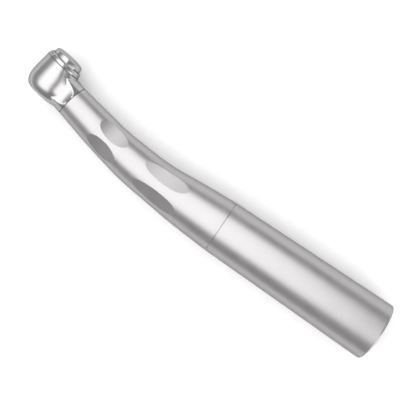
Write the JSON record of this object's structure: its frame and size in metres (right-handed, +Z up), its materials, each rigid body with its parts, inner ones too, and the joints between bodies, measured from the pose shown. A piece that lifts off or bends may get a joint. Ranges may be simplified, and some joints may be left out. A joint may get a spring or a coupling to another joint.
{
  "type": "dental turbine handpiece",
  "caption": "High-speed dental air-turbine handpiece: bent steel handle with finger facets, a short drum head with a push-button chuck, and a rear coupling socket.",
  "frame": {"origin": "under the middle of the bounding box, on the surface the handpiece lies on", "axes": "+X along the rear handle to the coupling end, +Y to the push-button side, +Z up across the plane of symmetry"},
  "size_m": [0.1204, 0.0248, 0.0175],
  "materials": {
    "satin_steel": "fine satin blasted",
    "smooth_steel": "fine satin, smoother than the sleeves",
    "polished_steel": "polished",
    "button_steel": "polished side, satin face",
    "impeller_metal": "machined",
    "brass": "turned",
    "rubber": "matt",
    "cage_resin": "phenolic resin"
  },
  "bodies": {
    "handpiece": {"rear_sleeve": "satin_steel", "front_sleeve": "satin_steel", "head_shell": "smooth_steel", "coupling_socket": "brass", "retention_ring": "polished_steel", "rear_sleeve_o_ring": "rubber", "front_sleeve_o_ring": "rubber", "drive_air_tube": "polished_steel", "water_tube": "polished_steel", "chip_air_tube": "polished_steel", "spray_nozzle": "polished_steel", "back_cap": "polished_steel", "button_spring": "polished_steel", "preload_washer": "polished_steel", "upper_outer_race": "polished_steel", "lower_outer_race": "polished_steel", "upper_o_ring": "rubber", "lower_o_ring": "rubber"},
    "rotor": {"spindle": "polished_steel", "impeller": "impeller_metal", "chuck_collet": "polished_steel", "upper_inner_race": "polished_steel", "lower_inner_race": "polished_steel"},
    "upper_ball_set": {"upper_ball_cage": "cage_resin", "upper_ball_1": "polished_steel", "upper_ball_2": "polished_steel", "upper_ball_3": "polished_steel", "upper_ball_4": "polished_steel", "upper_ball_5": "polished_steel", "upper_ball_6": "polished_steel", "upper_ball_7": "polished_steel"},
    "lower_ball_set": {"lower_ball_cage": "cage_resin", "lower_ball_1": "polished_steel", "lower_ball_2": "polished_steel", "lower_ball_3": "polished_steel", "lower_ball_4": "polished_steel", "lower_ball_5": "polished_steel", "lower_ball_6": "polished_steel", "lower_ball_7": "polished_steel"},
    "button": {"push_button": "button_steel", "button_clip": "polished_steel"},
    "pusher": {"chuck_pusher": "polished_steel"}
  },
  "joints": [
    {"name": "rotor_spin", "type": "hinge", "parent": "handpiece", "child": "rotor", "pos_m": [-0.05443, 0.00359, 0.00875], "axis": [0.1736, 0.9848, 0], "continuous": true},
    {"name": "upper_ball_roll", "type": "hinge", "parent": "handpiece", "child": "upper_ball_set", "pos_m": [-0.05443, 0.00359, 0.00875], "axis": [0.1736, 0.9848, 0], "continuous": true},
    {"name": "lower_ball_roll", "type": "hinge", "parent": "handpiece", "child": "lower_ball_set", "pos_m": [-0.05443, 0.00359, 0.00875], "axis": [0.1736, 0.9848, 0], "continuous": true},
    {"name": "button_press", "type": "slide", "parent": "handpiece", "child": "button", "axis": [-0.1736, -0.9848, 0], "range_m": [0, 0.0007], "stiffness_N_per_m": 2000, "springref_m": -0.0005, "deforming": ["button_spring"]},
    {"name": "chuck_release", "type": "slide", "parent": "rotor", "child": "pusher", "axis": [-0.1736, -0.9848, 0], "range_m": [0, 0.00046]}
  ],
  "couplings": [
    {"joint": "upper_ball_roll", "follows": "rotor_spin", "ratio": 0.395},
    {"joint": "lower_ball_roll", "follows": "rotor_spin", "ratio": 0.395},
    {"joint": "chuck_release", "follows": "button_press", "ratio": 0.65}
  ]
}
